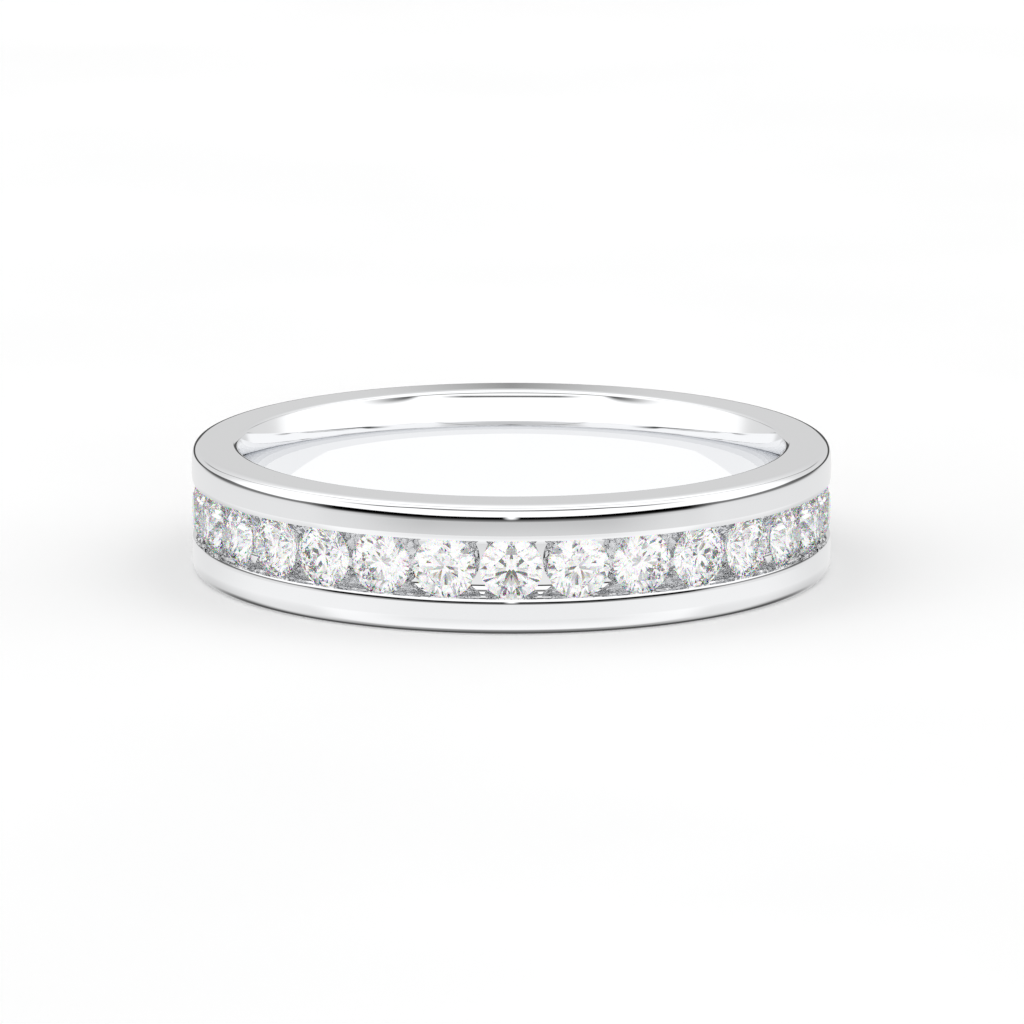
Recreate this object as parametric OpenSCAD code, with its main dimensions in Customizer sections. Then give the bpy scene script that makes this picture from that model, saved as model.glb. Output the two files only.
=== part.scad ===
// Channel set band: a polished ring with one row of round brilliant cut stones held between two rails.
// It lies on its side face, with the finger hole upright along Z and the first stone facing -Y.

/* [Band] */
// Radius of the finger hole at its narrowest
finger_r = 8.3; // [7:0.05:11]
// Thickness of the band from the finger hole to the face of the rails
wall_t = 1.7; // [1.6:0.05:2.4]
// Width of the band along the finger
band_w = 4; // [3.4:0.05:6]
// Width of the straight land in the middle of the finger hole
land_w = 1; // [0.4:0.05:2]
// Radius of the comfort curve on both sides of the land
comfort_r = 4; // [3:0.1:12]
// Fillet between the comfort curve and the side face
inner_edge_r = 0.18; // [0.06:0.01:0.3]
// Radius of the soft shoulder that takes the rail's face towards the side face
shoulder_r = 1.52; // [1:0.02:2.5]
// Part of the rail's width that the shoulder takes
shoulder_w = 0.52; // [0.4:0.01:0.8]
// Fillet between the shoulder and the side face
outer_edge_r = 0.3; // [0.1:0.01:0.4]

/* [Channel] */
// Cover of the lip over the girdle of a stone, on each side
lip_cover = 0.06; // [0.02:0.005:0.1]
// Radius of the soft rounding from the rail down to the lip
lip_round_r = 0.8; // [0.5:0.05:1.5]
// Part of the rail's width that the soft rounding takes
lip_round_w = 0.16; // [0.1:0.01:0.3]
// Width of the bearing under the girdle, on each side
bearing_w = 0.05; // [0.03:0.01:0.2]
// Depth of the channel's floor below the girdles
floor_drop = 0.54; // [0.4:0.01:0.7]
// Width of the straight middle of the channel's floor
floor_w = 1.26; // [0.9:0.02:1.4]
// Radius of the curves that take the floor up to the channel's walls
floor_curve_r = 0.45; // [0.32:0.01:0.9]
// Clearance between a stone and the metal
seat_gap = 0.02; // [0.01:0.005:0.05]

/* [Stones] */
// Diameter of a stone at its girdle
stone_d = 1.9; // [1.5:0.05:2.2]
// Smallest gap between neighbouring stones
stone_gap = 0.12; // [0.05:0.01:0.4]
// Drop of the tables below the face of the rails
table_drop = 0.02; // [0:0.01:0.1]
// Width of the table, as a percentage of the stone's diameter
table_pct = 55; // [50:1:65]
// Length of the star facets, as a percentage of the way from the table to the girdle
star_pct = 50; // [40:1:60]
// Length of the lower halves, as a percentage of the way from the girdle to the point
lower_pct = 79; // [65:1:85]
// Slope of the crown's main facets
crown_angle = 34.4; // [30:0.1:38]
// Slope of the pavilion's main facets
pavilion_angle = 40.85; // [39:0.05:43]
// Thickness of the girdle at its thick points
girdle_t = 0.06; // [0.05:0.005:0.12]
// Turn of each stone about its own axis, from a main facet facing the side face
stone_turn = 22.5; // [0:0.5:45]

/* [Hidden] */
$fn = 180;
MAINS = 8;
// Least width of the rail's straight face between its two roundings
RAIL_FLAT = 0.02;
// Largest part of its radius that a curve beside the channel's floor is wide
CURVE_PART = 0.9;
// How far the pits are cut above the channel's floor
PIT_RISE = 0.05;
HALF_STEP = 360 / MAINS / 2;
QUARTER_STEP = HALF_STEP / 2;
outer_r = finger_r + wall_t;

// Sizes of one stone, from its girdle
stone_r = stone_d / 2;
table_r = stone_r * table_pct / 100;
crown_h = (stone_r - table_r) * tan(crown_angle);
pavilion_h = stone_r * tan(pavilion_angle);
table_edge_r = table_r * cos(HALF_STEP);
star_r = table_edge_r + (stone_r - table_edge_r) * star_pct / 100;
star_h = (stone_r - star_r * cos(HALF_STEP)) * tan(crown_angle);
lower_r = stone_r * (1 - lower_pct / 100);
lower_h = (stone_r - lower_r * cos(HALF_STEP)) * tan(pavilion_angle);

// The half facets leave the girdle thinner between its thick points
scallop = stone_r * (1 / cos(QUARTER_STEP) - 1);
upper_dip = scallop * star_h / (stone_r - star_r);
lower_dip = scallop * lower_h / (stone_r - lower_r);

// Slopes of the edges between the half facets, the steepest lines of the crown and the pavilion
upper_slope = atan(star_h / (stone_r - star_r));
lower_slope = atan(lower_h / (stone_r - lower_r));

// Distances of the seated stones from the ring's axis
girdle_top_r = outer_r - table_drop - crown_h;
girdle_low_r = girdle_top_r - girdle_t;
girdle_mid_r = girdle_top_r - girdle_t / 2;
culet_r = girdle_low_r - pavilion_h;

// The stones share the whole circle, as many as fit with the gap
pitch_min = 2 * (atan(stone_r / girdle_mid_r) + asin(stone_gap / 2 / norm([girdle_mid_r, stone_r])));
stone_n = floor(360 / pitch_min);
stone_pitch = 360 / stone_n;

// Half widths and radii of the channel, from the stones it holds
lip_z = stone_r - lip_cover;
notch_z = stone_r + seat_gap;
wall_z = stone_r - bearing_w;
lip_low_r = girdle_top_r + lip_cover * tan(upper_slope) + seat_gap / cos(upper_slope);
seat_line_r = girdle_low_r - seat_gap / cos(lower_slope);
bearing_top_r = seat_line_r + seat_gap * tan(lower_slope);
bearing_low_r = seat_line_r - bearing_w * tan(lower_slope);
round_z = lip_z + lip_round_w;

// The channel's floor, where its curves start and meet the walls, and the pits for the stones' points.
// A pit is as steep as the edges between the pavilion's main facets.
floor_r = girdle_low_r - floor_drop;
floor_c = [floor_r + floor_curve_r, max(floor_w / 2, wall_z - floor_curve_r * CURVE_PART)];
wall_low_r = floor_c.x - sqrt(floor_curve_r ^ 2 - (wall_z - floor_c.y) ^ 2);
pit_slope = atan(tan(pavilion_angle) * cos(HALF_STEP));
pit_bottom_r = culet_r - seat_gap / cos(pit_slope);
pit_top_r = floor_r + PIT_RISE;
pit_r = (pit_top_r - pit_bottom_r) / tan(pit_slope);

// Centres of the roundings in the band's section, and the points where two of them meet
half_w = band_w / 2;
half_land = land_w / 2;
split_r = outer_r - wall_t / 2;
comfort_c = [finger_r + comfort_r, half_land];
inner_c_z = half_w - inner_edge_r;
inner_c_reach = sqrt((comfort_r - inner_edge_r) ^ 2 - (inner_c_z - half_land) ^ 2);
inner_c = [comfort_c.x - inner_c_reach, inner_c_z];
inner_tangent = comfort_c + (inner_c - comfort_c) * comfort_r / (comfort_r - inner_edge_r);
round_c = [outer_r - lip_round_r, round_z];
shoulder_z = max(half_w - shoulder_w, round_z + RAIL_FLAT);
shoulder_c = [outer_r - shoulder_r, shoulder_z];
outer_c_z = half_w - outer_edge_r;
outer_c_reach = sqrt((shoulder_r - outer_edge_r) ^ 2 - (outer_c_z - shoulder_z) ^ 2);
outer_c = [shoulder_c.x + outer_c_reach, outer_c_z];
outer_tangent = shoulder_c + (outer_c - shoulder_c) * shoulder_r / (shoulder_r - outer_edge_r);
beyond = 1;

function two_digits(i) = str(i < 10 ? "0" : "", i);
function stone_name(i) = str("stone_", two_digits(i));

// Inner side of the section above the land: the comfort curve and the fillet to the side face
module comfort_side() {
  intersection() {
    translate(comfort_c) circle(comfort_r);
    polygon([
      [finger_r - beyond, half_land],
      [split_r, half_land],
      [split_r, inner_c.y],
      inner_c,
      inner_c + (inner_tangent - inner_c) * 2,
      [finger_r - beyond, inner_tangent.y]
    ]);
  }
  intersection() {
    translate(inner_c) circle(inner_edge_r);
    polygon([
      inner_c,
      inner_c + (inner_tangent - inner_c) * 2,
      [inner_tangent.x, half_w + beyond],
      [inner_c.x, half_w + beyond]
    ]);
  }
  translate(inner_c) square([split_r - inner_c.x, inner_edge_r]);
}

// Outer side of the section on one rail: fillet, shoulder, the rail's face and its rounding to the lip
module rail_side() {
  polygon([[split_r, 0], [outer_c.x, 0], [outer_c.x, half_w], [split_r, half_w]]);
  intersection() {
    translate(outer_c) circle(outer_edge_r);
    polygon([
      outer_c,
      outer_c + (outer_tangent - outer_c) * 2,
      [outer_tangent.x, half_w + beyond],
      [outer_c.x, half_w + beyond]
    ]);
  }
  intersection() {
    translate(shoulder_c) circle(shoulder_r);
    polygon([
      outer_c,
      outer_c + (outer_tangent - outer_c) * 2,
      [outer_r + beyond, shoulder_z],
      [outer_c.x, shoulder_z]
    ]);
  }
  polygon([[outer_c.x, round_z], [outer_r, round_z], [outer_r, shoulder_z], [outer_c.x, shoulder_z]]);
  intersection() {
    translate(round_c) circle(lip_round_r);
    polygon([
      [outer_c.x, round_z],
      [outer_r + beyond, round_z],
      [outer_r + beyond, lip_z / 2],
      [outer_c.x, lip_z / 2]
    ]);
  }
}

// Half of the channel's section, with its mouth past the rails
module channel_half() {
  polygon([
    [outer_r + beyond, 0],
    [outer_r + beyond, lip_z],
    [lip_low_r, lip_z],
    [lip_low_r, notch_z],
    [bearing_top_r, notch_z],
    [bearing_low_r, wall_z],
    [wall_low_r, wall_z],
    [wall_low_r, floor_c.y],
    [floor_r, floor_c.y],
    [floor_r, 0]
  ]);
  intersection() {
    translate(floor_c) circle(floor_curve_r);
    polygon([
      [floor_r - beyond, floor_c.y],
      [wall_low_r, floor_c.y],
      [wall_low_r, wall_z],
      [floor_r - beyond, wall_z]
    ]);
  }
}

// The band's section, with the middle of its width at zero
module section()
  difference() {
    union() {
      translate([finger_r, -half_land]) square([split_r - finger_r, land_w]);
      for (side = [0, 1])
        mirror([0, side]) {
          comfort_side();
          rail_side();
        }
    }
    for (side = [0, 1]) mirror([0, side]) channel_half();
  }

// Conical pit for the point of a stone, along X
module pit()
  rotate([0, 90, 0])
    rotate_extrude() polygon([[0, pit_bottom_r], [pit_r, pit_top_r], [0, pit_top_r]]);

module band()
  color("gainsboro")
    translate([0, 0, half_w])
      difference() {
        rotate_extrude() section();
        for (i = [0 : stone_n - 1]) rotate([0, 0, i * stone_pitch - 90]) pit();
      }

// A level ring of points, with every second one moved by dip
function ring(count, r, z, turn = 0, dip = 0) = [
  for (i = [0 : count - 1])
    let (a = turn + i * 360 / count)
      [r * cos(a), r * sin(a), z + (i % 2) * dip]
];

// Round brilliant: table up, point down, with the girdle at zero
module brilliant() {
  edge = MAINS * 4;
  table_0 = 0;
  star_0 = table_0 + MAINS;
  upper_0 = star_0 + MAINS;
  lower_0 = upper_0 + edge;
  half_0 = lower_0 + edge;
  culet = half_0 + MAINS;
  half_t = girdle_t / 2;
  points = concat(
    ring(MAINS, table_r, half_t + crown_h),
    ring(MAINS, star_r, half_t + star_h, HALF_STEP),
    ring(edge, stone_r, half_t, 0, -upper_dip),
    ring(edge, stone_r, -half_t, 0, lower_dip),
    ring(MAINS, lower_r, -half_t - lower_h, HALF_STEP),
    [[0, 0, -half_t - pavilion_h]]
  );
  function at(first, i, count) = first + (i + count) % count;
  function table_at(k) = at(table_0, k, MAINS);
  function star_at(k) = at(star_0, k, MAINS);
  function half_at(k) = at(half_0, k, MAINS);
  function upper_at(i) = at(upper_0, i, edge);
  function lower_at(i) = at(lower_0, i, edge);
  each_main = [0 : MAINS - 1];
  faces = concat(
    [[for (k = [MAINS - 1 : -1 : 0]) table_at(k)]],
    [for (k = each_main) [table_at(k), table_at(k + 1), star_at(k)]],
    [for (k = each_main) [table_at(k), star_at(k), upper_at(4 * k), star_at(k - 1)]],
    [for (k = each_main, s = [0, 2])
      let (i = 4 * k + s) [star_at(k), upper_at(i + 2), upper_at(i + 1), upper_at(i)]],
    [for (i = [0 : edge - 1]) [upper_at(i), upper_at(i + 1), lower_at(i + 1), lower_at(i)]],
    [for (k = each_main, s = [0, 2])
      let (i = 4 * k + s) [half_at(k), lower_at(i), lower_at(i + 1), lower_at(i + 2)]],
    [for (k = each_main) [culet, half_at(k - 1), lower_at(4 * k), half_at(k)]]
  );
  polyhedron(points, faces);
}

// A stone in its seat, the first one facing -Y and the others after it against the clock
module stone(i)
  color("azure")
    rotate([0, 0, i * stone_pitch - 90])
      translate([girdle_mid_r, 0, half_w])
        rotate([0, 90, 0])
          rotate([0, 0, stone_turn])
            brilliant();

band();
for (i = [0 : stone_n - 1])
  stone(i);
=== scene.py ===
"""Channel set band lying on a pale studio floor. All lengths are in metres unless the name says mm."""
import math

import bpy
import numpy as np
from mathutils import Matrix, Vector


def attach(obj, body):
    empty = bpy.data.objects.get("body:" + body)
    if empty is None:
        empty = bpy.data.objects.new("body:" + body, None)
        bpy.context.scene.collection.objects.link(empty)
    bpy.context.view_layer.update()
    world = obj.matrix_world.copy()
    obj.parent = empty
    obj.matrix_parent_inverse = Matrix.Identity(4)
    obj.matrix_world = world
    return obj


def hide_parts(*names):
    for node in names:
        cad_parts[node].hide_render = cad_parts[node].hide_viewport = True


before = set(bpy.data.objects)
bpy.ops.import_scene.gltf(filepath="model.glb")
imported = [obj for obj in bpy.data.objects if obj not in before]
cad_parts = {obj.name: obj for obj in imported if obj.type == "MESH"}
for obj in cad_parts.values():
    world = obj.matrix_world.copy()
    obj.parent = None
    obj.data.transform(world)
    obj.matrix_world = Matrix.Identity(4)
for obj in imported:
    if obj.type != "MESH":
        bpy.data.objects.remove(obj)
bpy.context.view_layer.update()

MM = 0.001

# The band's section, in mm, with the middle of its width at height 0
FINGER_R = 8.3
OUTER_R = 10.0
HALF_WIDTH = 2.0
HALF_LAND = 0.5
COMFORT_R = 4.0
INNER_EDGE_R = 0.18
OUTER_EDGE_R = 0.3
SHOULDER_R = 1.52
SHOULDER_WIDTH = 0.52
LIP_ROUND_R = 0.8
LIP_ROUND_WIDTH = 0.16
LIP_COVER = 0.06
BEARING_WIDTH = 0.05
FLOOR_DROP = 0.54
FLOOR_HALF_WIDTH = 0.63
FLOOR_CURVE_R = 0.45
SEAT_GAP = 0.02

# The stones, in mm; the first one faces the camera
STONES = 30
FIRST_STONE = math.radians(-90)
STONE_R = 0.95
TABLE_DROP = 0.02
TABLE_R = STONE_R * 0.55
GIRDLE_T = 0.06
CROWN_ANGLE = math.radians(34.4)
PAVILION_ANGLE = math.radians(40.85)
HALF_STEP = math.pi / 8
STAR_R = (TABLE_R * math.cos(HALF_STEP) + STONE_R) / 2
LOWER_R = STONE_R * 0.21

# How steep the edges between the half facets are, above the girdle and below it
UPPER_SLOPE = (STONE_R - STAR_R * math.cos(HALF_STEP)) * math.tan(CROWN_ANGLE) / (STONE_R - STAR_R)
LOWER_SLOPE = (STONE_R - LOWER_R * math.cos(HALF_STEP)) * math.tan(PAVILION_ANGLE) / (STONE_R - LOWER_R)

# Distances of the seated stones and of the channel from the ring's axis, in mm
GIRDLE_TOP = OUTER_R - TABLE_DROP - (STONE_R - TABLE_R) * math.tan(CROWN_ANGLE)
GIRDLE_LOW = GIRDLE_TOP - GIRDLE_T
CULET = GIRDLE_LOW - STONE_R * math.tan(PAVILION_ANGLE)
SEAT_LINE = GIRDLE_LOW - SEAT_GAP * math.hypot(1, LOWER_SLOPE)
CHANNEL_FLOOR = GIRDLE_LOW - FLOOR_DROP
PIT_SLOPE = math.atan(math.tan(PAVILION_ANGLE) * math.cos(HALF_STEP))
PIT_BOTTOM = CULET - SEAT_GAP / math.cos(PIT_SLOPE)

# The lathe's steps, and where the search for a pit's edge starts and how often it closes in
ROUND_STEPS = 360
ARC_STEP = math.radians(4)
PIT_STEPS = 4
PIT_GUESS = 0.3
PIT_ROUNDS = 12

# The camera, with the ring's place in the frame in pixels
CAMERA_DISTANCE = 0.218
CAMERA_ELEVATION = math.radians(11.7)
SENSOR_MM = 36.0
FOCAL_PIXELS = 6953.0
FRAME_PIXELS = 1024.0
CENTRE_X, CENTRE_Y = 511.43, 503.08
CLIP = (0.01, 10.0)

# Materials, with the share of the colour and of the roughness at the polish's lowest
METAL_COLOUR = (0.87, 0.875, 0.885)
METAL_DULLEST = 0.985
METAL_ROUGHNESS = 0.03
METAL_SMOOTHEST = 0.7
POLISH_SCALE = 900.0
DIAMOND_IOR = {"red": 2.412, "green": 2.42, "blue": 2.43}
PAPER_SHADES = (0.97, 1.0)
PAPER_SCALE = 40.0

# The shown floor's radius in metres, and the corners of a floor disc
FLOOR_REACH = 3.0
DISC_STEPS = 96

# Light paths
BOUNCES = 24
METAL_BOUNCES = 16


def arc(centre, radius, start, end):
    """Points (r, z) and outward normals along an arc from angle start to angle end."""
    steps = max(2, math.ceil(abs(end - start) / ARC_STEP))
    run = []
    for i in range(steps + 1):
        a = start + (end - start) * i / steps
        n = (math.cos(a), math.sin(a))
        run.append(((centre[0] + radius * n[0], centre[1] + radius * n[1]), n))
    return run


def line(a, b):
    """The two ends of a straight run, with the normal on the right of the way from a to b."""
    length = math.dist(a, b)
    n = ((b[1] - a[1]) / length, -(b[0] - a[0]) / length)
    return [(a, n), (b, n)]


def inside_of(run):
    """The same run with its normals turned round, for a hollow arc."""
    return [(p, (-n[0], -n[1])) for p, n in run]


def upper_half():
    """Runs of the section above its middle, from the finger hole over the side face to the floor."""
    lip_z, notch_z, wall_z = STONE_R - LIP_COVER, STONE_R + SEAT_GAP, STONE_R - BEARING_WIDTH
    lip_low = GIRDLE_TOP + LIP_COVER * UPPER_SLOPE + SEAT_GAP * math.hypot(1, UPPER_SLOPE)
    bearing_top = SEAT_LINE + SEAT_GAP * LOWER_SLOPE
    bearing_low = SEAT_LINE - BEARING_WIDTH * LOWER_SLOPE

    comfort = (FINGER_R + COMFORT_R, HALF_LAND)
    inner_z = HALF_WIDTH - INNER_EDGE_R
    inner = (comfort[0] - math.sqrt((COMFORT_R - INNER_EDGE_R) ** 2 - (inner_z - HALF_LAND) ** 2), inner_z)
    inner_a = math.atan2(inner[1] - comfort[1], inner[0] - comfort[0])
    shoulder = (OUTER_R - SHOULDER_R, HALF_WIDTH - SHOULDER_WIDTH)
    outer_z = HALF_WIDTH - OUTER_EDGE_R
    reach = SHOULDER_R - OUTER_EDGE_R
    outer = (shoulder[0] + math.sqrt(reach ** 2 - (outer_z - shoulder[1]) ** 2), outer_z)
    outer_a = math.asin((outer_z - shoulder[1]) / reach)
    lip_c = (OUTER_R - LIP_ROUND_R, lip_z + LIP_ROUND_WIDTH)
    lip_a = -math.asin(LIP_ROUND_WIDTH / LIP_ROUND_R)
    lip_r = lip_c[0] + LIP_ROUND_R * math.cos(lip_a)
    floor_c = (CHANNEL_FLOOR + FLOOR_CURVE_R, FLOOR_HALF_WIDTH)
    floor_a = math.pi - math.asin((wall_z - FLOOR_HALF_WIDTH) / FLOOR_CURVE_R)
    wall_low = floor_c[0] + FLOOR_CURVE_R * math.cos(floor_a)
    quarter = math.pi / 2
    return [
        line((FINGER_R, HALF_LAND), (FINGER_R, 0))[::-1],
        arc(comfort, COMFORT_R, math.pi, inner_a),
        arc(inner, INNER_EDGE_R, inner_a, quarter),
        line((outer[0], HALF_WIDTH), (inner[0], HALF_WIDTH))[::-1],
        arc(outer, OUTER_EDGE_R, quarter, outer_a),
        arc(shoulder, SHOULDER_R, outer_a, 0),
        line((OUTER_R, lip_c[1]), (OUTER_R, shoulder[1]))[::-1],
        arc(lip_c, LIP_ROUND_R, 0, lip_a),
        line((lip_low, lip_z), (lip_r, lip_z))[::-1],
        line((lip_low, notch_z), (lip_low, lip_z))[::-1],
        line((bearing_top, notch_z), (lip_low, notch_z))[::-1],
        line((bearing_low, wall_z), (bearing_top, notch_z))[::-1],
        line((wall_low, wall_z), (bearing_low, wall_z))[::-1],
        inside_of(arc(floor_c, FLOOR_CURVE_R, floor_a, math.pi)),
    ]


def section():
    """All of the section but the channel's floor, as sides of (start, its normal, end, its normal)."""
    sides = []
    for run in upper_half():
        for (a, na), (b, nb) in zip(run, run[1:]):
            sides.append((a, na, b, nb))
            sides.append(((b[0], -b[1]), (nb[0], -nb[1]), (a[0], -a[1]), (na[0], -na[1])))
    return sides


def turned(sides):
    """Points, faces and corner normals of the sides turned about Z, all in mm."""
    keys, rings, corners = {}, [], []
    for a, na, b, nb in sides:
        pick = []
        for p in (a, b):
            key = (round(p[0], 6), round(p[1], 6))
            if key not in keys:
                keys[key] = len(rings)
                rings.append(p)
            pick.append(keys[key])
        corners.append((pick[0], na, pick[1], nb))
    turn = np.arange(ROUND_STEPS) * 2 * math.pi / ROUND_STEPS
    cos, sin = np.cos(turn), np.sin(turn)
    points = [(r * c, r * s, z) for r, z in rings for c, s in zip(cos, sin)]
    faces, normals = [], []
    for i, na, j, nb in corners:
        one, two = i * ROUND_STEPS, j * ROUND_STEPS
        for k in range(ROUND_STEPS):
            after = (k + 1) % ROUND_STEPS
            faces.append((one + k, two + k, two + after, one + after))
            normals += [(n[0] * cos[at], n[0] * sin[at], n[1])
                        for n, at in ((na, k), (nb, k), (nb, after), (na, after))]
    return points, faces, normals


def pit_edge(across, along):
    """Where the pit's cone leaves the floor, in the direction from the pit's axis to (across, along)."""
    length = math.hypot(across, along)
    way = (across / length, along / length)
    reach = PIT_GUESS
    for _ in range(PIT_ROUNDS):
        height = math.sqrt(CHANNEL_FLOOR ** 2 - (reach * way[0]) ** 2) - PIT_BOTTOM
        reach = height / math.tan(PIT_SLOPE)
    return reach * way[0], reach * way[1]


def pitted_floor():
    """The channel's floor with a conical pit under each stone, in the same form as turned()."""
    half = math.pi / STONES
    steps = ROUND_STEPS // STONES
    ends = [half * (2 * i / steps - 1) for i in range(steps)]
    rim = [(CHANNEL_FLOOR * math.sin(a), -FLOOR_HALF_WIDTH) for a in ends]
    rim += [(CHANNEL_FLOOR * math.sin(half), FLOOR_HALF_WIDTH * (2 * i / PIT_STEPS - 1))
            for i in range(PIT_STEPS)]
    rim += [(-x, -z) for x, z in rim]
    points, faces, normals = [], [], []
    for stone in range(STONES):
        turn = FIRST_STONE + 2 * half * stone
        out, side = (math.cos(turn), math.sin(turn)), (-math.sin(turn), math.cos(turn))

        def place(height, across, along):
            return (height * out[0] + across * side[0], height * out[1] + across * side[1], along)

        first = len(points)
        ways = []
        for across, along in rim:
            edge = pit_edge(across, along)
            for i in range(PIT_STEPS + 1):
                part = i / PIT_STEPS
                x = across + (edge[0] - across) * part
                z = along + (edge[1] - along) * part
                points.append(place(math.sqrt(CHANNEL_FLOOR ** 2 - x * x), x, z))
            length = math.hypot(*edge)
            ways.append((edge[0] / length, edge[1] / length))
        points.append(place(PIT_BOTTOM, 0, 0))
        bottom = len(points) - 1
        for k in range(len(rim)):
            nxt = (k + 1) % len(rim)
            a, b = first + k * (PIT_STEPS + 1), first + nxt * (PIT_STEPS + 1)
            for i in range(PIT_STEPS):
                quad = (a + i, b + i, b + i + 1, a + i + 1)
                faces.append(quad)
                normals += [(points[p][0] / CHANNEL_FLOOR, points[p][1] / CHANNEL_FLOOR, 0.0) for p in quad]
            faces.append((a + PIT_STEPS, b + PIT_STEPS, bottom))
            up, to_axis = math.cos(PIT_SLOPE), -math.sin(PIT_SLOPE)
            here, there = ways[k], ways[nxt]
            between = (here[0] + there[0], here[1] + there[1])
            size = math.hypot(*between)
            between = (between[0] / size, between[1] / size)
            normals += [place(up, to_axis * w[0], to_axis * w[1]) for w in (here, there, between)]
    return points, faces, normals


def solid(name, *parts):
    """One mesh of parts that each give points, faces and corner normals."""
    places, faces, normals = [], [], []
    for points, part_faces, part_normals in parts:
        start = len(places)
        places += [(x * MM, y * MM, (z + HALF_WIDTH) * MM) for x, y, z in points]
        faces += [tuple(start + i for i in face) for face in part_faces]
        normals += part_normals
    mesh = bpy.data.meshes.new(name)
    mesh.from_pydata(places, [], faces)
    mesh.update()
    mesh.normals_split_custom_set(normals)
    piece = bpy.data.objects.new(name, mesh)
    bpy.context.scene.collection.objects.link(piece)
    return piece


class Nodes:
    """Adds nodes to a tree and links them. A step's result can be used as a number would be."""

    def __init__(self, owner):
        owner.use_nodes = True
        self.tree = owner.node_tree
        self.tree.nodes.clear()

    def add(self, kind, **settings):
        node = self.tree.nodes.new(kind)
        for key, value in settings.items():
            setattr(node, key, value)
        return node

    def put(self, socket, value):
        if isinstance(value, bpy.types.NodeSocket):
            self.tree.links.new(value, socket)
        else:
            socket.default_value = value

    def math(self, operation, *values):
        node = self.add("ShaderNodeMath", operation=operation)
        for socket, value in zip(node.inputs, values):
            self.put(socket, value)
        return node.outputs[0]

    def ease(self, value, low, high, at_low=0.0, at_high=1.0):
        """From at_low to at_high as value goes from low to high, smoothly."""
        node = self.add("ShaderNodeMapRange", interpolation_type="SMOOTHSTEP")
        for socket, number in zip(node.inputs, (value, low, high, at_low, at_high)):
            self.put(socket, number)
        return node.outputs[0]

    def curve(self, value, points, x_range, y_range):
        """A smooth curve through the points, read at value."""
        node = self.add("ShaderNodeFloatCurve")
        curve = node.mapping.curves[0]
        unit = [((x - x_range[0]) / (x_range[1] - x_range[0]), (y - y_range[0]) / (y_range[1] - y_range[0]))
                for x, y in points]
        while len(curve.points) < len(unit):
            curve.points.new(0.5, 0.5)
        for point, place in zip(curve.points, unit):
            point.location = place
            point.handle_type = "AUTO_CLAMPED"
        node.mapping.update()
        self.put(node.inputs["Value"], self.math("DIVIDE", self.math("SUBTRACT", value, x_range[0]),
                                                  x_range[1] - x_range[0]))
        return self.math("MULTIPLY_ADD", node.outputs[0], y_range[1] - y_range[0], y_range[0])

    def blend(self, factor, a, b):
        """a where factor is 0 and b where it is 1."""
        node = self.add("ShaderNodeMix", data_type="FLOAT")
        for socket, value in zip(node.inputs, (factor, None, a, b)):
            if value is not None:
                self.put(socket, value)
        return node.outputs[0]


# The studio, in degrees of azimuth from the camera's side and of elevation. By azimuth: where the dark at
# the horizon ends and the white dome begins, and the dome's brightness low and high. The dome's seams:
# heights by azimuth, where they fade out, half widths of the dark and how dark they are
DOME_FOOT = [(0, -0.3), (25, -0.3), (35, 0.2), (47, 0.8), (56, 0.9), (66, 0.4), (75, -0.3), (85, -1.3),
             (110, -1.3), (132, -0.5), (145, 0.3), (155, 0.6), (165, 2.5), (172, 6.5), (180, 10.85)]
DOME_LOW = [(0, 1.25), (110, 1.2), (125, 0.85), (140, 0.8), (155, 0.74), (180, 0.71)]
DOME_HIGH = [(0, 1.25), (120, 1.25), (135, 1.0), (150, 0.9), (165, 0.8), (180, 0.77)]
SEAMS = (
    ([(0, 69), (30, 67), (67, 62), (82, 54), (97, 51), (112, 41), (127, 28), (142, 16), (180, 12)],
     (140, 155), (0.8, 2.6), 0.7),
    ([(0, 36), (35, 36), (50, 29), (65, 27), (180, 27)], (45, 75), (3.5, 8.0), 0.92),
    ([(0, 26.4), (180, 26.4)], (20, 35), (0.5, 1.2), 0.85),
)
# Over which heights the dome goes from low to high and on to its top, and the top's least brightness
LOW_TO_HIGH, HIGH_TO_TOP, DOME_TOP = (15, 55), (55, 80), 1.05
# How softly the dark meets the dome in front and behind, and between which azimuths that changes
FOOT_SOFT, FOOT_SOFT_BEHIND, FOOT_BEHIND = 0.4, 0.65, (165, 178)

# Brightness below the horizon by elevation, in front, half way to the side, at the side and behind
FRONT = [(-90, 0.27), (-75, 0.32), (-65, 0.66), (-55, 1.05), (-45, 1.1), (-30, 1.05), (-22, 0.96),
         (-17, 0.94), (-15, 0.97), (-12.6, 0.98), (-12.3, 0.93), (-12, 0.82), (-11.95, 0.75), (-11.9, 0.67),
         (-11.86, 0.59), (-11.5, 0.46), (-11, 0.38), (-9, 0.23), (-7.5, 0.12), (-6.5, 0.065), (-5.5, 0.03),
         (-4.5, 0.009), (-3.5, 0), (0, 0)]
MIDDLE = [(-90, 0.22), (-75, 0.29), (-65, 0.5), (-55, 0.9), (-45, 1.0), (-15, 1.12), (-12.6, 1.03),
          (-12.1, 0.92), (-11.9, 0.85), (-11.5, 0.79), (-9.25, 0.74), (-8.25, 0.66), (-7.25, 0.43),
          (-6.25, 0.18), (-5.25, 0.045), (-4.25, 0.008), (-3.5, 0), (0, 0)]
SIDE = [(-90, 0.26), (-75, 0.34), (-65, 0.42), (-55, 0.58), (-45, 0.77), (-35, 0.88), (-25, 0.9),
        (-18, 0.95), (-12.5, 1.02), (-11.8, 0.89), (-7, 0.86), (-5.75, 0.78), (-4.75, 0.5), (-3.5, 0.22),
        (0, 0.25)]
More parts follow.
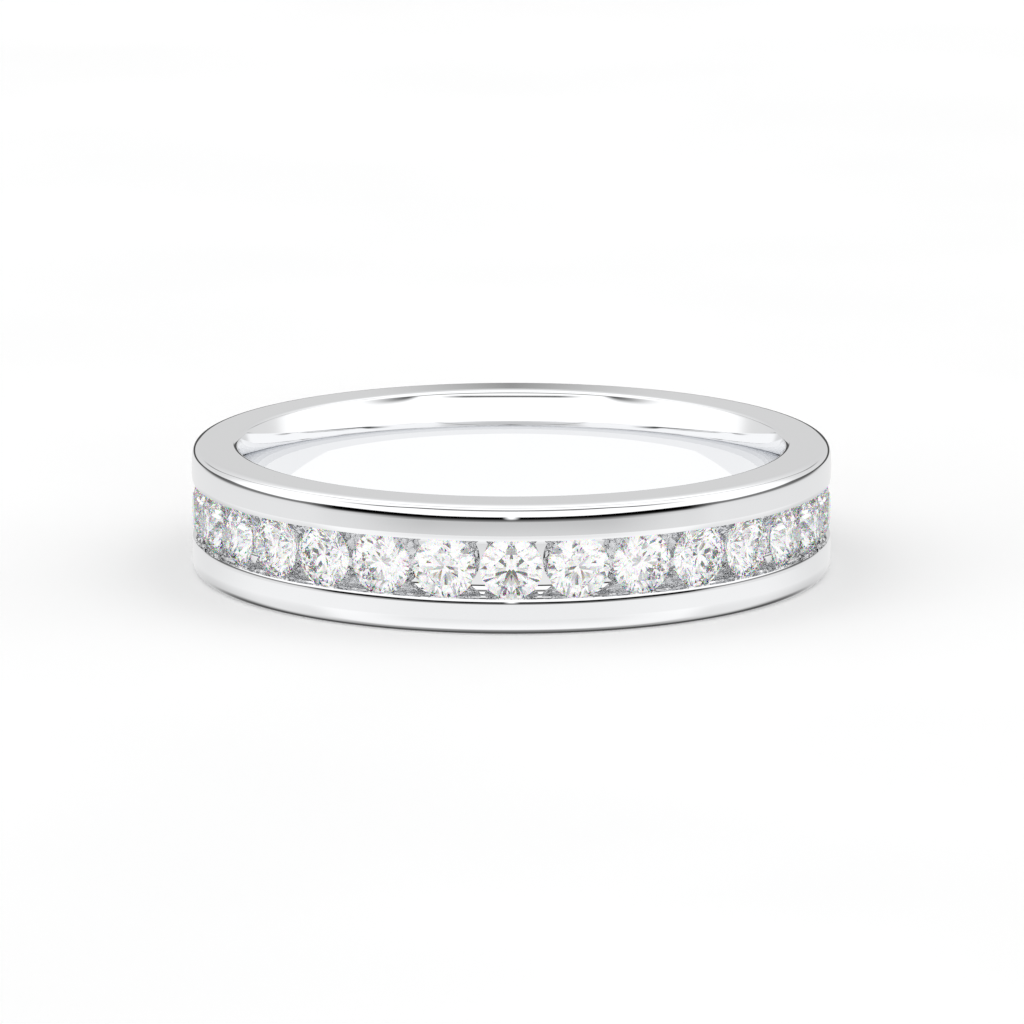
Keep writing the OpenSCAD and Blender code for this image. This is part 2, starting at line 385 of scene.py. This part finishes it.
BACK = [(-90, 0.2), (-75, 0.13), (-60, 0.085), (-45, 0.085), (-35, 0.12), (-27, 0.35), (-22, 0.6),
        (-15, 0.78), (-12, 0.87), (-7, 0.85), (-6, 0.7), (-5, 0.3), (-4, 0.1), (-3, 0.07), (0, 0.08)]
# The azimuths between which each of the last three takes over, and where a finer curve starts
TAKE_OVER = ((MIDDLE, (28, 64)), (SIDE, (64, 80)), (BACK, (100, 145)))
NEAR_HORIZON = -15

# The lamp by the camera: brightness, how far to the side it fades out and between which heights it sets in
LAMP, LAMP_SIDE, LAMP_HEIGHT = 1.4, 3.4, (-9.0, -1.5)
# Brightness behind the ring for the camera, and that of the floor in the finger hole, with its radius in mm
BACKDROP = 1.3
LIT_FLOOR = 1.15
LIT_FLOOR_R = 8.7

# What the stones see through their facets: the dome's brightness and foot, a round dark patch high in front
# (height, half width from full to none, darkness, and a degree of azimuth at its height in degrees), the
# azimuths between which it all gives way to what the metal sees, and the brightness below the horizon
GEM_DOME = 1.05
GEM_FOOT = [(0, -0.5), (5, -0.5), (10, 3.2), (30, 3.0), (45, 0.5), (70, 0.5), (85, -1.3), (180, -1)]
GEM_FOOT_SOFT = 0.4
GEM_PATCH_HEIGHT, GEM_PATCH_EDGE, GEM_PATCH_DARKNESS, GEM_PATCH_TURN = 58, (6, 10), 0.9, 0.5
GEM_ENDS = (85, 115)
GEM_LOW = [(-90, 0.5), (-60, 0.7), (-45, 0.95), (-19, 1.0), (-16, 0.85), (-12.5, 0.75), (-11, 0.55),
           (-4, 0.5), (-3, 0.15), (-2.5, 0.04), (0, 0.02)]


def studio_world():
    """What surrounds the ring: one brightness for each direction, another for rays that leave a stone."""
    world = bpy.data.worlds.new("studio")
    bpy.context.scene.world = world
    g = Nodes(world)
    place = g.add("ShaderNodeTexCoord").outputs["Generated"]
    split = g.add("ShaderNodeSeparateXYZ")
    g.put(split.inputs[0], place)
    x, y, z = split.outputs
    degrees = 180 / math.pi
    elevation = g.math("MULTIPLY", g.math("ARCSINE", z), degrees)
    to_front = g.math("MULTIPLY", y, -1.0)
    azimuth = g.math("MULTIPLY", g.math("ARCTAN2", g.math("ABSOLUTE", x), to_front), degrees)

    def by_azimuth(points, lowest, highest):
        return g.curve(azimuth, points, (0, 180), (lowest, highest))

    # the white dome, brighter high up, with its seams
    dome = g.blend(g.ease(elevation, *LOW_TO_HIGH), by_azimuth(DOME_LOW, 0, 2), by_azimuth(DOME_HIGH, 0, 2))
    dome = g.blend(g.ease(elevation, *HIGH_TO_TOP), dome, g.math("MAXIMUM", dome, DOME_TOP))
    for points, fades, widths, darkness in SEAMS:
        off = g.math("ABSOLUTE", g.math("SUBTRACT", elevation, by_azimuth(points, 0, 90)))
        seam = g.math("MULTIPLY", g.ease(off, *widths, darkness, 0.0), g.ease(azimuth, *fades, 1.0, 0.0))
        dome = g.math("MULTIPLY", dome, g.math("SUBTRACT", 1.0, seam))

    # the ground, with a finer curve near the horizon
    def ground(points):
        low = [p for p in points if p[0] <= NEAR_HORIZON]
        near = [p for p in points if p[0] >= NEAR_HORIZON]
        at_edge = (NEAR_HORIZON, np.interp(NEAR_HORIZON, *zip(*points)))
        low += [at_edge] if low[-1][0] < NEAR_HORIZON else []
        near = ([at_edge] if near[0][0] > NEAR_HORIZON else []) + near
        return g.blend(g.math("GREATER_THAN", elevation, NEAR_HORIZON),
                       g.curve(elevation, low, (-90, NEAR_HORIZON), (0, 1.2)),
                       g.curve(elevation, near, (NEAR_HORIZON, 0), (0, 1.2)))

    low = ground(FRONT)
    for points, azimuths in TAKE_OVER:
        low = g.blend(g.ease(azimuth, *azimuths), low, ground(points))

    # a small lamp by the camera breaks the dark at the horizon
    lamp = g.math("MULTIPLY", g.ease(azimuth, 0.0, LAMP_SIDE, LAMP, 0.0), g.ease(elevation, *LAMP_HEIGHT))
    low = g.math("MAXIMUM", low, lamp)

    def above(foot, soft):
        """0 below the dome's foot and 1 above it."""
        return g.ease(elevation, g.math("SUBTRACT", foot, soft), g.math("ADD", foot, soft))

    soft = g.ease(azimuth, *FOOT_BEHIND, FOOT_SOFT, FOOT_SOFT_BEHIND)
    value = g.blend(above(by_azimuth(DOME_FOOT, -10, 20), soft), low, dome)

    # what the stones see in front and beside the ring
    up = g.math("SUBTRACT", elevation, GEM_PATCH_HEIGHT)
    aside = g.math("MULTIPLY", azimuth, GEM_PATCH_TURN)
    off = g.math("SQRT", g.math("ADD", g.math("POWER", up, 2.0), g.math("POWER", aside, 2.0)))
    gem_dome = g.math("SUBTRACT", GEM_DOME, g.ease(off, *GEM_PATCH_EDGE, GEM_PATCH_DARKNESS, 0.0))
    gem = g.blend(above(by_azimuth(GEM_FOOT, -10, 20), GEM_FOOT_SOFT), ground(GEM_LOW), gem_dome)
    gem = g.blend(g.ease(azimuth, *GEM_ENDS), gem, value)

    path = g.add("ShaderNodeLightPath").outputs
    value = g.blend(path["Is Transmission Ray"], value, gem)
    value = g.blend(path["Is Camera Ray"], value, BACKDROP)
    back = g.add("ShaderNodeBackground")
    back.inputs["Color"].default_value = (1, 1, 1, 1)
    g.put(back.inputs["Strength"], value)
    g.put(g.add("ShaderNodeOutputWorld").inputs["Surface"], back.outputs[0])


def disc(name, radius):
    """A flat stage disc on the ground, its radius in metres."""
    turns = [2 * math.pi * i / DISC_STEPS for i in range(DISC_STEPS)]
    ring = [(radius * math.cos(a), radius * math.sin(a), 0.0) for a in turns]
    mesh = bpy.data.meshes.new(name)
    mesh.from_pydata(ring, [], [list(range(DISC_STEPS))])
    piece = bpy.data.objects.new(name, mesh)
    bpy.context.scene.collection.objects.link(piece)
    return piece


def shown_floor():
    """The floor as the camera sees it."""
    floor = disc("floor", FLOOR_REACH)
    floor.visible_glossy = floor.visible_transmission = floor.visible_diffuse = floor.visible_shadow = False
    material = bpy.data.materials.new("floor_paper")
    g = Nodes(material)
    shader = g.add("ShaderNodeBsdfDiffuse")
    place = g.add("ShaderNodeTexCoord").outputs["Object"]
    noise = g.add("ShaderNodeTexNoise")
    noise.inputs["Scale"].default_value = PAPER_SCALE
    g.put(noise.inputs["Vector"], place)
    value = g.ease(noise.outputs[0], 0.3, 0.7, *PAPER_SHADES)
    mixed = g.add("ShaderNodeCombineColor")
    for socket in mixed.inputs:
        g.put(socket, value)
    g.put(shader.inputs["Color"], mixed.outputs[0])
    g.put(g.add("ShaderNodeOutputMaterial").inputs["Surface"], shader.outputs[0])
    floor.data.materials.append(material)


def lit_floor():
    """The bright floor inside the finger hole, seen only in the ring's own reflections."""
    floor = disc("lit_floor", LIT_FLOOR_R * MM)
    floor.visible_camera = floor.visible_diffuse = floor.visible_shadow = False
    material = bpy.data.materials.new("lit_paper")
    g = Nodes(material)
    shader = g.add("ShaderNodeEmission")
    shader.inputs["Strength"].default_value = LIT_FLOOR
    g.put(g.add("ShaderNodeOutputMaterial").inputs["Surface"], shader.outputs[0])
    floor.data.materials.append(material)


def metal():
    """Polished white gold with a very slight uneven polish."""
    material = bpy.data.materials.new("white_gold_polished")
    g = Nodes(material)
    shader = g.add("ShaderNodeBsdfPrincipled")
    shader.inputs["Metallic"].default_value = 1.0
    place = g.add("ShaderNodeTexCoord").outputs["Object"]
    noise = g.add("ShaderNodeTexNoise")
    noise.inputs["Scale"].default_value = POLISH_SCALE
    noise.inputs["Detail"].default_value = 3.0
    g.put(noise.inputs["Vector"], place)
    ramp = g.add("ShaderNodeValToRGB")
    low, high = ramp.color_ramp.elements
    low.color = [c * METAL_DULLEST for c in METAL_COLOUR] + [1]
    high.color = list(METAL_COLOUR) + [1]
    g.put(ramp.inputs[0], noise.outputs[0])
    g.put(shader.inputs["Base Color"], ramp.outputs[0])
    rough = g.ease(noise.outputs[0], 0.2, 0.8, METAL_ROUGHNESS * METAL_SMOOTHEST, METAL_ROUGHNESS)
    g.put(shader.inputs["Roughness"], rough)
    g.put(g.add("ShaderNodeOutputMaterial").inputs["Surface"], shader.outputs[0])
    return material


def diamond():
    """Clear stone. Where a ray first meets it, red, green and blue bend by slightly different amounts."""
    material = bpy.data.materials.new("diamond_clear")
    g = Nodes(material)
    shaders = []
    for i, (name, ior) in enumerate(DIAMOND_IOR.items()):
        glass = g.add("ShaderNodeBsdfGlass", name=name)
        glass.inputs["Color"].default_value = [float(i == k) for k in range(3)] + [1]
        glass.inputs["Roughness"].default_value = 0.0
        glass.inputs["IOR"].default_value = ior
        shaders.append(glass.outputs[0])
    split = shaders[0]
    for shader in shaders[1:]:
        both = g.add("ShaderNodeAddShader")
        g.put(both.inputs[0], split)
        g.put(both.inputs[1], shader)
        split = both.outputs[0]
    plain = g.add("ShaderNodeBsdfGlass", name="plain")
    plain.inputs["Color"].default_value = (1, 1, 1, 1)
    plain.inputs["Roughness"].default_value = 0.0
    plain.inputs["IOR"].default_value = DIAMOND_IOR["green"]
    mix = g.add("ShaderNodeMixShader")
    g.put(mix.inputs[0], g.add("ShaderNodeLightPath").outputs["Is Camera Ray"])
    g.put(mix.inputs[1], plain.outputs[0])
    g.put(mix.inputs[2], split)
    g.put(g.add("ShaderNodeOutputMaterial").inputs["Surface"], mix.outputs[0])
    return material


def camera():
    """The photograph's camera, aimed at the ring's middle, with a small shift for its place in view."""
    data = bpy.data.cameras.new("camera")
    data.sensor_width = SENSOR_MM
    data.lens = FOCAL_PIXELS / FRAME_PIXELS * SENSOR_MM
    data.clip_start, data.clip_end = CLIP
    data.shift_x = (FRAME_PIXELS / 2 - CENTRE_X) / FRAME_PIXELS
    data.shift_y = (CENTRE_Y - FRAME_PIXELS / 2) / FRAME_PIXELS
    piece = bpy.data.objects.new("camera", data)
    bpy.context.scene.collection.objects.link(piece)
    back = Vector((0, -math.cos(CAMERA_ELEVATION), math.sin(CAMERA_ELEVATION)))
    piece.location = Vector((0, 0, HALF_WIDTH * MM)) + back * CAMERA_DISTANCE
    piece.rotation_mode = "QUATERNION"
    piece.rotation_quaternion = (-back).to_track_quat("-Z", "Y")
    bpy.context.scene.camera = piece


def build():
    band = solid("polished_band", turned(section()), pitted_floor())
    band.data.materials.append(metal())
    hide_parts("band")
    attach(band, "root")
    clear = diamond()
    for name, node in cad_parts.items():
        if name.startswith("stone_"):
            node.data.materials.clear()
            node.data.materials.append(clear)
    studio_world()
    shown_floor()
    lit_floor()
    camera()
    scene = bpy.context.scene
    scene.view_settings.view_transform = "Standard"
    scene.view_settings.look = "None"
    scene.cycles.max_bounces = BOUNCES
    scene.cycles.glossy_bounces = METAL_BOUNCES
    scene.cycles.transmission_bounces = BOUNCES
    scene.cycles.caustics_reflective = True
    scene.cycles.caustics_refractive = True


build()
